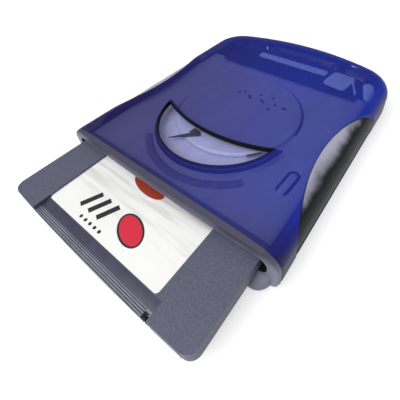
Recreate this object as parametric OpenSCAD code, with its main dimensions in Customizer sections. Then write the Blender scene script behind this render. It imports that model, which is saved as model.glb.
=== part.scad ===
// Removable disk drive for the desk: a translucent case over a steel mechanism,
// with a cartridge standing part way out of its front slot.
// Millimetres, X to the right, Y to the back, Z up from the desk, front at -Y.
// The origin is the middle of the footprint, cartridge included, on the desk.

/* [Case] */
// Gap between the metalwork and the inside of the case at the sides
side_gap = 2.1; // [1.8:0.1:5]
// Depth of the case behind the head actuator
back_room = 5; // [4.5:0.5:10]
// Height of the motor and boards between the floor and the cartridge
deck_h = 4.8; // [4.8:0.1:5.2]
// Gap between the raised round of the shield and the window's lens
roof_gap = 0.9; // [0.6:0.1:4]
// How far the rubber feet lift the case off the desk
foot_gap = 1; // [0.8:0.1:1.2]
// Thickness of the case's floor
floor_t = 1.8; // [1.6:0.1:2]
// Height of the seam between the top and the bottom case above the inside floor
seam_rise = 2.2; // [2:0.1:2.6]
// Thickness of the case wall at the sides
wall_t = 1.4; // [1:0.1:1.6]
// Thickness of the case wall over the top
roof_t = 2; // [1.6:0.1:2.4]
// Rounding of the back corners, seen from above
rear_corner_r = 20; // [18:1:24]
// Radius of the bowed back edge, seen from above
rear_bow_r = 136; // [120:2:300]

/* [Side grips] */
// Radius of the arc that each grip cuts into the case
grip_arc_r = 83; // [70:1:110]
// How far the deepest point of the arc lies in from the side
waist_in = 9.7; // [8:0.1:10.5]
// Place of the middle of the grips, as a share of the case's depth
grip_mid_share = 0.38; // [0.36:0.01:0.42]
// Thickness of a grip's skin
grip_t = 1.3; // [1:0.1:1.5]
// Gap between a grip and the case
grip_gap = 0.1; // [0.05:0.05:0.15]

/* [Window] */
// Radius of the window's front edge
window_front_r = 31.7; // [28:0.1:33]
// Distance of the front edge's centre behind the front
window_front_y = 45.3; // [44:0.1:50]
// Radius of the window's back edge
window_rear_r = 75; // [65:1:95]
// Distance of the middle of the back edge behind the front
window_rear_y = 33; // [28:0.5:36]
// Thickness of the lens under the window
lens_t = 0.9; // [0.6:0.1:1]

/* [Front] */
// Gap between the cartridge and each end of the slot
slot_side_gap = 2.3; // [2:0.1:2.6]
// Gap between the cartridge and the top of the slot
slot_top_gap = 1.1; // [0.8:0.1:1.3]
// How far the lower lip stands out
lip_out = 5.2; // [4:0.2:6]
// Width of the eject button
button_w = 12; // [8:1:14]
// Travel of the eject button
button_travel = 1; // [0.5:0.1:1]

/* [Cartridge] */
// Width of the cartridge
disk_w = 98; // [84:1:110]
// Length of the cartridge
disk_l = 99; // [84:1:116]
// Thickness of the cartridge at its raised side bands
disk_t = 6.3; // [6.1:0.1:6.8]
// How far the cartridge stands out of the front at rest
disk_out = 33; // [26:1:40]
// Width of the raised side bands
wing_w = 16.4; // [14:0.2:18]
// How far the middle of the cartridge lies under its side bands
disk_recess = 1; // [0.8:0.1:1]
// Gap between the recording disc's rim and the cartridge's sides
media_margin = 4.5; // [4.5:0.5:8]

/* [Mechanism] */
// How far the cartridge still stands out when it is fully in
disk_seated_out = 3; // [3:0.5:5]
// How far the heads travel towards the hub
head_travel = 20; // [16:1:24]
// How far the eject trolley pushes the cartridge
trolley_travel = 12; // [8:1:12]
// Stroke of the eject solenoid
solenoid_stroke = 2; // [1:0.2:2]
// Radius of the spindle rotor
rotor_r = 17; // [15:0.5:18]

/* [Hidden] */

// Smoothness of round faces and of the outlines' corners, bows and edges
$fn = 64;
wide_fn = 180;
corner_steps = 8;
bow_steps = 14;
edge_steps = 8;
// Overrun of every cut, and the thickness of one layer of a hulled shell
cut = 0.5;
slice = 0.02;
// Gap around moving pieces, and the running clearance of a shaft in its bore
free_gap = 0.3;
fit_gap = 0.05;

blue = [0.13, 0.16, 0.62, 0.6];
grey = [0.62, 0.62, 0.68];
dark = [0.1, 0.1, 0.12];
steel = [0.72, 0.73, 0.76];
slate = [0.36, 0.36, 0.42];
green = [0.1, 0.35, 0.2];
copper = [0.75, 0.42, 0.2];
cream = [0.85, 0.85, 0.82];
clear = [0.75, 0.75, 0.95, 0.4];
clear_green = [0.7, 0.95, 0.7, 0.7];

// Sheet metal, rails and the cartridge's place between them
sheet_t = 0.8;
rail_t = 1.4;
disk_side_gap = 0.4;
disk_half_w = disk_w / 2;
rail_x = disk_half_w + disk_side_gap;
floor_z = foot_gap + floor_t;
seam_z = floor_z + seam_rise;
disk_lift = 0.7;
disk_z = floor_z + deck_h;
disk_top = disk_z + disk_t;
slot_z = disk_z - disk_lift;
slot_h = disk_lift + disk_t + slot_top_gap;
slot_w = disk_w + 2 * slot_side_gap;
metal_gap = 2;
metal_front_y = 5;
disk_seated_rear = disk_l - disk_seated_out;
metal_rear_y = disk_seated_rear + metal_gap;
shield_gap = 0.4;
shield_z = disk_top + shield_gap;
shield_t = 0.6;
dome_h = 1.8;
yoke_t = 1.4;
carriage_l = 9;
yoke_rear_y = metal_rear_y + head_travel + carriage_l + 2 * free_gap + yoke_t;

// Overall sizes of the case, built up around what it holds
skin_gap = grip_t + grip_gap;
core_gap = skin_gap + wall_t;
half_w = rail_x + rail_t + sheet_t + side_gap + core_gap;
body_l = yoke_rear_y + back_room;
roof_z = shield_z + shield_t + dome_h + roof_gap + lens_t;
case_top = roof_z + roof_t;
front_y = (disk_out - body_l) / 2;
waist_half_w = half_w - waist_in;
grip_mid_y = body_l * grip_mid_share;

// Rounding of the case's edges: the upper edge reaches in and down by these
edge_in = 8.5;
crown_h = 0.5;
crown_in = 16;
side_rise = 4.4;
side_z = disk_z + side_rise;
edge_h = case_top - crown_h - side_z;
base_r = 3.5;
sharp_r = 1;
rim_t = 1.5;
rim_bow = 1.2;
rim_taper = 0.9;

// Rounding of the grips: down from their widest line, and up to the top of the case
grip_in = 11;
grip_rise = 1.5;
grip_mid_z = disk_z + grip_rise;
grip_top_z = case_top - 3 / 4 * crown_h;
grip_base_in = 3.5;
grip_base_z = floor_z;
core_floor_in = 6;
core_roof_in = 16;
grip_axis_x = waist_half_w + grip_arc_r;

// The tray and the rails, and the middle of the recording disc
tray_drop = 1.8;
tray_z = disk_z - tray_drop;
tray_top = tray_z + sheet_t;
rail_ledge_w = 2.9;
rail_ledge_gap = 0.25;
rail_front_y = 6;
rail_rear_in = 6;
rail_rear_y = metal_rear_y - rail_rear_in;
shield_half_w = rail_x + rail_t / 2;
media_front = 7.5;
media_rear = 2.5;
media_r = min(disk_half_w - media_margin, (disk_l - media_front - media_rear) / 2);
hub_y = media_r + media_front;
hub_seated_y = hub_y - disk_seated_out;
media_mid_z = disk_z + disk_t / 2;

module in_drive() { translate([0, front_y, 0]) children(); }
module in_disk() { translate([0, front_y - disk_out, disk_z]) children(); }
module both_sides() {
    children();
    mirror([1, 0, 0]) children();
}
module block(x0, x1, y0, y1, z0, z1) { translate([x0, y0, z0]) cube([x1 - x0, y1 - y0, z1 - z0]); }
module post(x, y, r, z0, z1) { translate([x, y, z0]) cylinder(r = r, h = z1 - z0); }
module ring(x, y, r_in, r_out, z0, z1) {
    difference() {
        post(x, y, r_out, z0, z1);
        post(x, y, r_in, z0 - cut, z1 + cut);
    }
}
// A flat outline standing in the XZ plane, extruded from y0 to y1
module upright(y0, y1) { translate([0, y1, 0]) rotate([90, 0, 0]) linear_extrude(y1 - y0) children(); }
// A rectangle with round corners, between heights z0 and z1
module round_rect(w, z0, z1, r) {
    translate([-w / 2 + r, z0]) square([w - 2 * r, z1 - z0]);
    translate([-w / 2, z0 + r]) square([w, z1 - z0 - 2 * r]);
    for (x = [-w / 2 + r, w / 2 - r], z = [z0 + r, z1 - r]) translate([x, z]) circle(r);
}

// An arc's points, and the case's outline from above with its sides and back moved in by d and its front at y0
function arc(cx, cy, r, from, to, steps) =
    [for (i = [0:steps]) let (a = from + (to - from) * i / steps) [cx + r * cos(a), cy + r * sin(a)]];
function outline(d, y0) =
    let (w = half_w - d, f = sharp_r, r = max(rear_corner_r - d, sharp_r), bow = rear_bow_r - d,
        bow_y = body_l - rear_bow_r, corner_x = w - r,
        corner_y = bow_y + sqrt(pow(bow - r, 2) - pow(corner_x, 2)),
        turn = atan2(corner_y - bow_y, corner_x))
    concat(
        arc(w - f, y0 + f, f, -90, 0, 2),
        arc(corner_x, corner_y, r, 0, turn, corner_steps),
        arc(0, bow_y, bow, turn, 180 - turn, bow_steps),
        arc(-corner_x, corner_y, r, 180 - turn, 180, corner_steps),
        arc(f - w, y0 + f, f, 180, 270, 2));

// A quarter of an ellipse from the side at height z, as [inset, height], lying t inside the surface
function quarter(reach, rise, t, z, way) =
    [for (i = [0:edge_steps]) let (a = 90 * i / edge_steps)
        [t + (reach - t) * (1 - cos(a)), z + way * (rise - t) * sin(a)]];
function flipped(list) = [for (i = [len(list) - 1:-1:0]) list[i]];
// Both sides of a cross-section, from its [inset, height] pairs going up
function section(pairs) = concat(
    [for (p = pairs) [half_w - p[0], p[1]]],
    [for (p = flipped(pairs)) [p[0] - half_w, p[1]]]);

base_up = flipped(quarter(base_r, base_r, 0, foot_gap + base_r, -1));
top_up = concat(quarter(edge_in, edge_h, 0, side_z, 1), [[crown_in, case_top]]);
inner_up = concat(
    [[wall_t + base_r / 2, floor_z], [wall_t, foot_gap + base_r]],
    [for (i = [0:edge_steps]) let (a = 90 * i / edge_steps)
        [wall_t + (edge_in - wall_t) * (1 - cos(a)), side_z + (edge_h - roof_t) * sin(a)]],
    [[crown_in, roof_z]]);
function grip_up(t) = concat(
    flipped(quarter(grip_base_in, grip_mid_z - grip_base_z, t, grip_mid_z, -1)),
    quarter(grip_in, grip_top_z - grip_mid_z, t, grip_mid_z, 1));
// What the grips leave free inside the case, open above and below
core_up = concat([[core_floor_in, 0], [core_floor_in, floor_z]], grip_up(core_gap), [[core_roof_in, case_top]]);
skin_up = concat([[grip_base_in, 0]], grip_up(skin_gap), [[grip_in, case_top + cut]]);

// A solid through the case's outlines, one ring of points for each [inset, height] pair going up
module stack(pairs, y0) {
    n = len(outline(0, 0));
    last = len(pairs) - 1;
    polyhedron(
        [for (p = pairs, q = outline(p[0], y0)) [q[0], q[1], p[1]]],
        concat(
            [[for (i = [0:n - 1]) i]],
            [for (k = [0:last - 1], i = [0:n - 1]) let (j = (i + 1) % n) [k * n + i, k * n + n + i, k * n + n + j, k * n + j]],
            [[for (i = [n - 1:-1:0]) last * n + i]]));
}
module grip_cutter(r, z0) {
    both_sides() translate([grip_axis_x, grip_mid_y, z0]) cylinder(r = r, h = case_top + cut - z0, $fn = wide_fn);
}
module grip_recess() {
    difference() {
        grip_cutter(grip_arc_r, grip_base_z);
        upright(-cut, body_l + cut) polygon(section(skin_up));
    }
}
module cavity() {
    intersection() {
        stack(inner_up, -cut);
        upright(-body_l, body_l + cut) polygon(section(core_up));
    }
}
module crescent(grow, z0, z1) {
    translate([0, 0, z0]) difference() {
        translate([0, window_front_y, 0]) cylinder(r = window_front_r + grow, h = z1 - z0, $fn = wide_fn);
        translate([0, window_rear_y + window_rear_r, -cut])
            cylinder(r = window_rear_r - grow, h = z1 - z0 + 2 * cut, $fn = wide_fn);
    }
}

// Sockets in the back, screws and posts. Places across the case are shares of its half width
usb_x = half_w * 0.637;
usb_w = 12;
usb_h = 10.9;
usb_l = 15;
jack_x = half_w * -0.584;
jack_w = 9;
jack_h = 10.9;
jack_l = 13;
jack_bore_r = 3.1;
jack_bore_l = 9;
socket_in = 7;
socket_rear_y = body_l - socket_in;
socket_gap = 0.3;
board_t = 1.2;
standoff_h = 0.5;
board_z = floor_z + standoff_h;
board_top = board_z + board_t;
jack_z = board_top + jack_h / 2;
eject_hole_x = half_w * -0.25;
eject_hole_z = disk_z + disk_side_gap;
eject_hole_r = 0.8;
boss_x = half_w * 0.793;
boss_in = 14.5;
boss_y = body_l - boss_in;
boss_r = 2.6;
screw_r = 0.95;
screw_head_r = 2.3;
screw_head_t = 0.8;
screw_sink = 1;
screw_l = 9;
foot_r = 4.5;
foot_sink = 0.5;
foot_front_x = half_w * 0.743;
foot_front_y = 16;
foot_rear_x = half_w * 0.69;
foot_rear_in = 26;
foot_rear_y = body_l - foot_rear_in;
tray_post_in = 3.2;
tray_post_x = rail_x - tray_post_in;
tray_post_r = 1.7;
tray_post_shares = [0.2, 0.57, 0.92];
standoff_r = 1.5;
standoff_x = half_w * 0.53;
front_standoff_x = half_w * 0.637;
front_board_y0 = 6.2;
front_board_y1 = 13.5;
front_board_half_w = half_w * 0.708;
board_motor_gap = 4;
motor_hole_gap = 1;
motor_base_r = rotor_r + motor_hole_gap;
board_front_y = hub_seated_y + motor_base_r + board_motor_gap;
board_turn_y = foot_rear_y;
board_rear_in = 15;
board_rear_y = body_l - board_rear_in;
standoff_front_in = 9;
standoff_rear_in = 11;
standoff_ys = [board_front_y + standoff_front_in, board_rear_y - standoff_rear_in];

module rear_sockets() {
    block(usb_x - usb_w / 2 - socket_gap, usb_x + usb_w / 2 + socket_gap, socket_rear_y - usb_l, body_l + cut,
        board_top - socket_gap, board_top + usb_h + socket_gap);
    translate([jack_x, body_l + cut, jack_z]) rotate([90, 0, 0])
        cylinder(r = jack_bore_r + 2 * socket_gap, h = jack_l);
    block(jack_x - jack_w / 2 - socket_gap, jack_x + jack_w / 2 + socket_gap, socket_rear_y - jack_l,
        socket_rear_y + socket_gap, board_top - socket_gap, board_top + jack_h + socket_gap);
    translate([eject_hole_x, body_l + cut, eject_hole_z]) rotate([90, 0, 0])
        cylinder(r = eject_hole_r, h = body_l - socket_rear_y);
}

module top_shell() {
    color(blue) in_drive() difference() {
        union() {
            difference() {
                stack(concat([[0, seam_z]], top_up), rim_t);
                difference() {
                    cavity();
                    both_sides() post(boss_x, boss_y, boss_r, floor_z, case_top);
                }
            }
            both_sides() post(boss_x, boss_y, boss_r, floor_z, seam_z + cut);
        }
        grip_recess();
        crescent(0, roof_z - lens_t, case_top + cut);
        both_sides() post(boss_x, boss_y, screw_r + fit_gap, floor_z - cut, screw_l + screw_sink + foot_gap + cut);
        rear_sockets();
    }
}

module bottom_shell() {
    color(dark) in_drive() difference() {
        union() {
            difference() {
                stack(concat(base_up, [[0, seam_z]]), rim_t);
                cavity();
                both_sides() post(boss_x, boss_y, boss_r + fit_gap, floor_z, seam_z + cut);
            }
            both_sides() for (s = tray_post_shares) post(tray_post_x, s * metal_rear_y, tray_post_r, floor_z - cut, tray_z);
            both_sides() for (y = standoff_ys) post(standoff_x, y, standoff_r, floor_z - cut, board_z);
            both_sides() post(front_standoff_x, (front_board_y0 + front_board_y1) / 2, standoff_r,
                floor_z - cut, board_z);
        }
        grip_recess();
        rear_sockets();
        both_sides() {
            post(boss_x, boss_y, screw_r + fit_gap, foot_gap - cut, floor_z + cut);
            post(boss_x, boss_y, screw_head_r + fit_gap, foot_gap - cut, foot_gap + screw_sink);
            post(foot_front_x, foot_front_y, foot_r, foot_gap - cut, foot_gap + foot_sink);
            post(foot_rear_x, foot_rear_y, foot_r, foot_gap - cut, foot_gap + foot_sink);
        }
        button_pocket();
    }
}

module grip() {
    intersection() {
        difference() {
            upright(0, body_l) polygon(section(grip_up(0)));
            upright(-cut, body_l + cut) polygon(section(concat([[grip_base_in, 0]], grip_up(grip_t))));
        }
        translate([grip_axis_x, grip_mid_y, grip_base_z + grip_gap])
            cylinder(r = grip_arc_r - grip_gap, h = case_top, $fn = wide_fn);
    }
}
module right_grip() { color(steel) in_drive() grip(); }
module left_grip() { color(steel) in_drive() mirror([1, 0, 0]) grip(); }

lens_flange = 1.4;
gasket_w = 0.7;
gasket_drop = 0.7;
module window_lens() {
    color(clear) in_drive() crescent(lens_flange, roof_z - lens_t - slice, roof_z - 2 * slice);
}
module window_gasket() {
    color(dark) in_drive() difference() {
        crescent(-slice, roof_z, case_top - gasket_drop);
        crescent(-gasket_w, roof_z - cut, case_top);
    }
}

module rubber_feet() {
    color(dark) in_drive() both_sides() {
        post(foot_front_x, foot_front_y, foot_r - fit_gap, 0, foot_gap + foot_sink);
        post(foot_rear_x, foot_rear_y, foot_r - fit_gap, 0, foot_gap + foot_sink);
    }
}
cross_w = 0.8;
cross_l = 2.6;
cross_t = 0.4;
module case_screws() {
    head_z = foot_gap + screw_sink - screw_head_t;
    color(steel) in_drive() both_sides() difference() {
        union() {
            post(boss_x, boss_y, screw_head_r, head_z, foot_gap + screw_sink);
            post(boss_x, boss_y, screw_r, foot_gap + screw_sink, foot_gap + screw_sink + screw_l);
        }
        for (turn = [0, 90]) translate([boss_x, boss_y, 0]) rotate([0, 0, turn])
            block(-cross_l / 2, cross_l / 2, -cross_w / 2, cross_w / 2, head_z - cut, head_z + cross_t);
    }
}

// Front rim with its slot, lower lip and button
rim_section = section(concat(base_up, top_up));
slot_r = 3.5;
slot_flare = 1.2;
sleeve_t = 1.2;
sleeve_rear_y = 5;
lip_side_in = 3;
lip_half_w = half_w - lip_side_in;
lip_r = 5;
lip_drop = 0.4;
lip_top_z = slot_z - lip_drop;
lip_waist_out_share = 0.96;
lip_base_out_share = 0.75;
lip_nose_share = 0.62;
lip_belly_share = 0.32;
button_x = half_w * 0.53;
button_rise = 1.3;
button_z = foot_gap + button_rise;
button_h = 2.6;
button_proud = 0.8;
button_flange = 1.4;
button_flange_t = 1;
pipe_w = 5;
pipe_h = 1.6;
pipe_rise = 2.1;
pipe_z = foot_gap + pipe_rise;
bow_axis_r = (pow(half_w, 2) + pow(rim_bow, 2)) / (2 * rim_bow);

function lip_outline(out) = let (r = min(lip_r, out + rim_t / 2)) concat(
    arc(lip_half_w - r, r - out, r, -90, 0, corner_steps),
    arc(r - lip_half_w, r - out, r, 180, 270, corner_steps),
    [[-lip_half_w, rim_t], [lip_half_w, rim_t]]);
module lip_layer(out, z) { translate([0, 0, z]) linear_extrude(slice) hull() polygon(lip_outline(out)); }
module capsule(x, w, z0, z1, y0, y1) { translate([x, 0, 0]) upright(y0, y1) round_rect(w, z0, z1, (z1 - z0) / 2 - slice); }

module front_bezel() {
    lip_h = lip_top_z - foot_gap;
    color(grey) in_drive() difference() {
        union() {
            intersection() {
                hull() {
                    upright(rim_t - slice, rim_t) polygon(rim_section);
                    translate([0, -rim_bow, 0]) scale([1 - rim_taper / half_w, 1, 1 - rim_taper / case_top])
                        translate([0, 0, rim_taper / 2]) upright(0, slice) polygon(rim_section);
                }
                translate([0, bow_axis_r - rim_bow, 0]) cylinder(r = bow_axis_r, h = case_top + cut, $fn = 4 * wide_fn);
            }
            hull() {
                lip_layer(lip_out * lip_base_out_share, foot_gap + slice);
                lip_layer(lip_out, foot_gap + lip_h * lip_belly_share);
                lip_layer(lip_out * lip_waist_out_share, foot_gap + lip_h * lip_nose_share);
                lip_layer(rim_t / 2, lip_top_z);
            }
            upright(rim_t - slice, sleeve_rear_y)
                round_rect(slot_w + 2 * sleeve_t, slot_z - sleeve_t, slot_z + slot_h + sleeve_t, slot_r + sleeve_t);
        }
        upright(-lip_out - cut, sleeve_rear_y + cut) round_rect(slot_w, slot_z, slot_z + slot_h, slot_r);
        hull() {
            upright(-rim_bow - cut, -rim_bow) round_rect(slot_w + 2 * slot_flare, slot_z, slot_z + slot_h + slot_flare,
                slot_r + slot_flare / 2);
            upright(rim_t - cut, rim_t) round_rect(slot_w, slot_z, slot_z + slot_h, slot_r);
        }
        capsule(button_x, button_w + 2 * free_gap, button_z - free_gap, button_z + button_h + free_gap,
            -lip_out - cut, sleeve_rear_y);
        capsule(-button_x, pipe_w, pipe_z, pipe_z + pipe_h, -lip_out - cut, sleeve_rear_y);
    }
}
button_back_y = rim_t + free_gap;
module button_pocket() {
    block(button_x - button_w / 2 - button_flange - 2 * free_gap, button_x + button_w / 2 + button_flange + 2 * free_gap,
        rim_t - cut, front_board_y0 - 2 * free_gap, button_z - 2 * free_gap, seam_z + cut);
}
stub_w = 4;
stub_l = 1.8;
module eject_button() {
    color(slate) in_drive() {
        capsule(button_x, button_w, button_z, button_z + button_h, -lip_out - button_proud, button_back_y + slice);
        block(button_x - button_w / 2 - button_flange, button_x + button_w / 2 + button_flange,
            button_back_y, button_back_y + button_flange_t, button_z - free_gap, button_z + button_h + free_gap);
        block(button_x - stub_w / 2, button_x + stub_w / 2, button_back_y + button_flange_t - slice,
            button_back_y + button_flange_t + stub_l, button_z + button_h / 2, button_z + button_h);
    }
}
module light_pipe() {
    color(clear_green) in_drive()
        capsule(-button_x, pipe_w - 2 * fit_gap, pipe_z + fit_gap, pipe_z + pipe_h - fit_gap, -lip_out, front_board_y0 - fit_gap);
}
front_board_t = 0.95;
front_board_top = board_z + front_board_t;
module front_board() {
    color(green) in_drive()
        block(-front_board_half_w, front_board_half_w, front_board_y0, front_board_y1, board_z, front_board_top);
}
switch_w = 6;
switch_l = 5;
switch_h = 1.1;
switch_nub_l = 0.6;
module eject_switch() {
    nub_y = button_back_y + button_flange_t + stub_l + button_travel + free_gap;
    color(dark) in_drive() {
        block(button_x - switch_w / 2, button_x + switch_w / 2, nub_y + switch_nub_l,
            nub_y + switch_nub_l + switch_l, front_board_top, front_board_top + switch_h);
        block(button_x - switch_w / 6, button_x + switch_w / 6, nub_y, nub_y + switch_nub_l + slice,
            front_board_top + switch_h / 4, front_board_top + switch_h);
    }
}

// Steelwork, with the eject train's places that the tray follows
can_r = 2.9;
can_rail_gap = 2;
can_x = rail_x - can_rail_gap;
yoke_half_w = half_w * 0.407;
lever_yoke_gap = 1;
lever_eye_r = 2.2;
lever_x = yoke_half_w + lever_yoke_gap + lever_eye_r;
pivot_back = 15;
pivot_y = metal_rear_y + pivot_back;
flange_drop = 1.6;
flange_top_z = disk_top - flange_drop;
tray_mid_gap = 1.5;
tray_mid_half_w = yoke_half_w + tray_mid_gap;
tray_left_x = rail_x + rail_t - sheet_t;
board_gap = 0.5;
tray_right_x = can_x - can_r - board_gap;
tray_socket_gap = 1;
tray_left_y = socket_rear_y - jack_l - tray_socket_gap;
tray_right_y = socket_rear_y - usb_l - tray_socket_gap;
rod_r = 1;
rod_drop = 0.7;
rod_z = media_mid_z - rod_drop;
carriage_half_w = yoke_half_w * 0.39;
rod_in = 2;
rod_x = carriage_half_w - rod_in;
tab_w = 3.8;
tab_t = 1;
tab_over = 0.15;
tab_z = rod_z + rod_r + tab_over;
trolley_gap = 1.5;
trolley_y = disk_seated_rear + trolley_gap;
trolley_t = 3;
trolley_foot_x = half_w * -0.655;
trolley_foot_w = 1.4;
trolley_foot_y = trolley_y + trolley_t;
trolley_foot_l = 3;

module chassis_tray() {
    color(steel) in_drive() {
        difference() {
            union() {
                block(-rail_x - rail_t, rail_x + rail_t, metal_front_y + sheet_t, metal_rear_y, tray_z, tray_top);
                block(-tray_mid_half_w, tray_mid_half_w, metal_rear_y - cut, yoke_rear_y, tray_z, tray_top);
                block(-tray_left_x, 0, metal_rear_y - cut, tray_left_y, tray_z, tray_top);
                block(0, tray_right_x, metal_rear_y - cut, tray_right_y, tray_z, tray_top);
                block(0, lever_x + lever_eye_r, metal_rear_y, pivot_y + lever_eye_r, tray_z, tray_top);
                both_sides() block(rail_x + rail_t, rail_x + rail_t + sheet_t, metal_front_y + sheet_t,
                    metal_rear_y, tray_z, flange_top_z);
            }
            post(0, hub_seated_y, rotor_r + motor_hole_gap, tray_z - cut, tray_top + cut);
            block(trolley_foot_x - trolley_foot_w / 2 - free_gap, trolley_foot_x + trolley_foot_w / 2 + free_gap,
                trolley_foot_y - trolley_travel - free_gap, trolley_foot_y + trolley_foot_l + free_gap,
                tray_z - cut, tray_top + cut);
        }
        both_sides() block(rod_x - tab_w / 2, rod_x + tab_w / 2, metal_rear_y - tab_t, metal_rear_y,
            tray_top - slice, tab_z);
    }
}

dome_r = 31;
dome_back = 7;
dome_y = hub_seated_y + dome_back;
dot_r = 0.9;
dot_back = 12.5;
dot_y = dome_y + dot_back;
dot_shares = [-0.28, -0.07, 0.16, 0.42, 0.61];
finger_x = half_w * 0.743;
finger_y = 31.5;
finger_l = 12;
finger_w = 3;
finger_slit = 0.7;
finger_turn = -8;
module top_shield() {
    color(steel) in_drive() difference() {
        union() {
            block(-shield_half_w, shield_half_w, metal_front_y + sheet_t, metal_rear_y, shield_z, shield_z + shield_t);
            post(0, dome_y, dome_r, shield_z, shield_z + shield_t + dome_h);
        }
        post(0, dome_y, dome_r - shield_t, shield_z - cut, shield_z + dome_h);
        for (s = dot_shares) post(dome_r * s, dot_y, dot_r, shield_z, shield_z + shield_t + dome_h + cut);
        translate([finger_x, finger_y, 0]) rotate([0, 0, finger_turn]) for (x = [-finger_w / 2, finger_w / 2])
            block(x - finger_slit / 2, x + finger_slit / 2, -finger_l / 2, finger_l / 2, shield_z - cut,
                shield_z + shield_t + cut);
    }
}
// A pointed leaf spring, fixed on the raised round of the shield, seen through the window
leaf_tip = [-15.6, 21];
leaf_root = [-5, 32];
leaf_root_w = 5;
leaf_tip_w = 0.6;
leaf_t = 0.4;
module shield_spring() {
    run = leaf_root - leaf_tip;
    l = norm(run);
    color(dark) in_drive() translate([leaf_tip[0], leaf_tip[1], shield_z + shield_t + dome_h])
        rotate([0, 0, atan2(run[1], run[0])]) {
            linear_extrude(leaf_t) polygon([[0, -leaf_tip_w / 2], [l, -leaf_root_w / 2], [l, leaf_root_w / 2],
                [0, leaf_tip_w / 2]]);
            translate([l, 0, 0]) cylinder(r = leaf_root_w / 2, h = leaf_t);
        }
}
rail_chamfer = 0.7;
module rail() {
    upright(rail_front_y, rail_rear_y) polygon([
        [rail_x - rail_ledge_w, tray_top], [rail_x + rail_t, tray_top], [rail_x + rail_t, flange_top_z],
        [rail_x + rail_t - rail_chamfer, shield_z], [rail_x, shield_z], [rail_x, disk_z - rail_ledge_gap],
        [rail_x - rail_ledge_w, disk_z - rail_ledge_gap]]);
}
module right_rail() { color(dark) in_drive() rail(); }
module left_rail() { color(dark) in_drive() mirror([1, 0, 0]) rail(); }

// Spindle motor
base_t = 0.8;
rotor_drop = 2;
rotor_z = disk_z - rotor_drop;
motor_boss_r = 4;
motor_boss_top = rotor_z - free_gap;
shaft_r = 1.5;
stator_teeth = 9;
stator_gap = 0.5;
stator_top = rotor_z - stator_gap;
stator_ring_w = 1.8;
tooth_w = 3.2;
tooth_end_gap = 2.6;
rotor_t = 0.7;
rotor_wall = 1.1;
rotor_skirt_z = floor_z + base_t + free_gap;
nose_r = 5.5;
nose_gap = 0.4;
nose_top = disk_z - nose_gap;
magnet_in_r = 8;
magnet_out_r = 12;
magnet_top = nose_top - nose_gap / 4;
module at_spindle() { in_drive() translate([0, hub_seated_y, 0]) children(); }
module motor_base() {
    color(steel) at_spindle() difference() {
        union() {
            post(0, 0, motor_base_r, floor_z, floor_z + base_t);
            post(0, 0, motor_boss_r, floor_z, motor_boss_top);
        }
        post(0, 0, shaft_r + fit_gap, floor_z - cut, motor_boss_top + cut);
    }
}
module motor_stator() {
    low = floor_z + base_t;
    color(copper) at_spindle() {
        ring(0, 0, motor_boss_r, motor_boss_r + stator_ring_w, low, stator_top);
        for (i = [0:stator_teeth - 1]) rotate([0, 0, 360 * i / stator_teeth])
            block(motor_boss_r + stator_ring_w / 2, rotor_r - rotor_wall - tooth_end_gap, -tooth_w / 2, tooth_w / 2,
                low, stator_top);
    }
}
module spindle_rotor() {
    color(steel) at_spindle() {
        post(0, 0, rotor_r, rotor_z, rotor_z + rotor_t);
        ring(0, 0, rotor_r - rotor_wall, rotor_r, rotor_skirt_z, rotor_z + slice);
        post(0, 0, shaft_r, floor_z + free_gap, rotor_z + slice);
        post(0, 0, nose_r, rotor_z, nose_top);
    }
}
module chuck_magnet() {
    color(dark) at_spindle() ring(0, 0, magnet_in_r, magnet_out_r, rotor_z + rotor_t, magnet_top);
}

// Electronics
board_half_w = tray_right_x;
board_rear_half_w = half_w * 0.6;
chip_h = 0.9;
module main_board() {
    color(green) in_drive() translate([0, 0, board_z]) linear_extrude(board_t) polygon([
        [-board_half_w, board_front_y], [board_half_w, board_front_y], [board_half_w, board_turn_y],
        [board_rear_half_w, board_rear_y], [-board_rear_half_w, board_rear_y], [-board_half_w, board_turn_y]]);
}
// Chips as [x, y, width, length], in shares of the board's half width and length
chip_shares = [[-0.2, 0.16, 0.28, 0.26], [0.32, 0.2, 0.22, 0.2], [0.1, 0.55, 0.3, 0.28], [-0.55, 0.2, 0.14, 0.12],
    [0.62, 0.6, 0.16, 0.16], [-0.3, 0.62, 0.18, 0.14]];
module board_chips() {
    l = board_rear_y - board_front_y;
    color(dark) in_drive() for (s = chip_shares)
        block(board_half_w * (s[0] - s[2] / 2), board_half_w * (s[0] + s[2] / 2),
            board_front_y + l * (s[1] - s[3] / 2), board_front_y + l * (s[1] + s[3] / 2), board_top, board_top + chip_h);
}
can_front_gap = 3;
can_rear_gap = 1.9;
can_y = metal_rear_y + can_front_gap;
can_l = boss_y - boss_r - can_rear_gap - can_y;
module smoothing_capacitor() {
    color(steel) in_drive() translate([can_x, can_y + can_l, floor_z + can_r]) rotate([90, 0, 0])
        cylinder(r = can_r, h = can_l);
}
ribbon_x = half_w * -0.673;
ribbon_w = 8;
ribbon_t = 0.3;
ribbon_lap = 3;
module board_ribbon() {
    color(slate) in_drive() block(ribbon_x - ribbon_w / 2, ribbon_x + ribbon_w / 2, front_board_y1 - ribbon_lap / 2,
        board_front_y + ribbon_lap, board_z - ribbon_t, board_z);
}
usb_wall = 1.4;
usb_mouth_l = 9;
usb_tongue_w = 5.6;
usb_tongue_h = 3.2;
usb_tongue_l = 8;
module usb_socket() {
    color(steel) in_drive() difference() {
        block(usb_x - usb_w / 2, usb_x + usb_w / 2, socket_rear_y - usb_l, socket_rear_y, board_top, board_top + usb_h);
        block(usb_x - usb_w / 2 + usb_wall, usb_x + usb_w / 2 - usb_wall, socket_rear_y - usb_mouth_l,
            socket_rear_y + cut, board_top + usb_wall, board_top + usb_h - usb_wall);
    }
}
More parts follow.
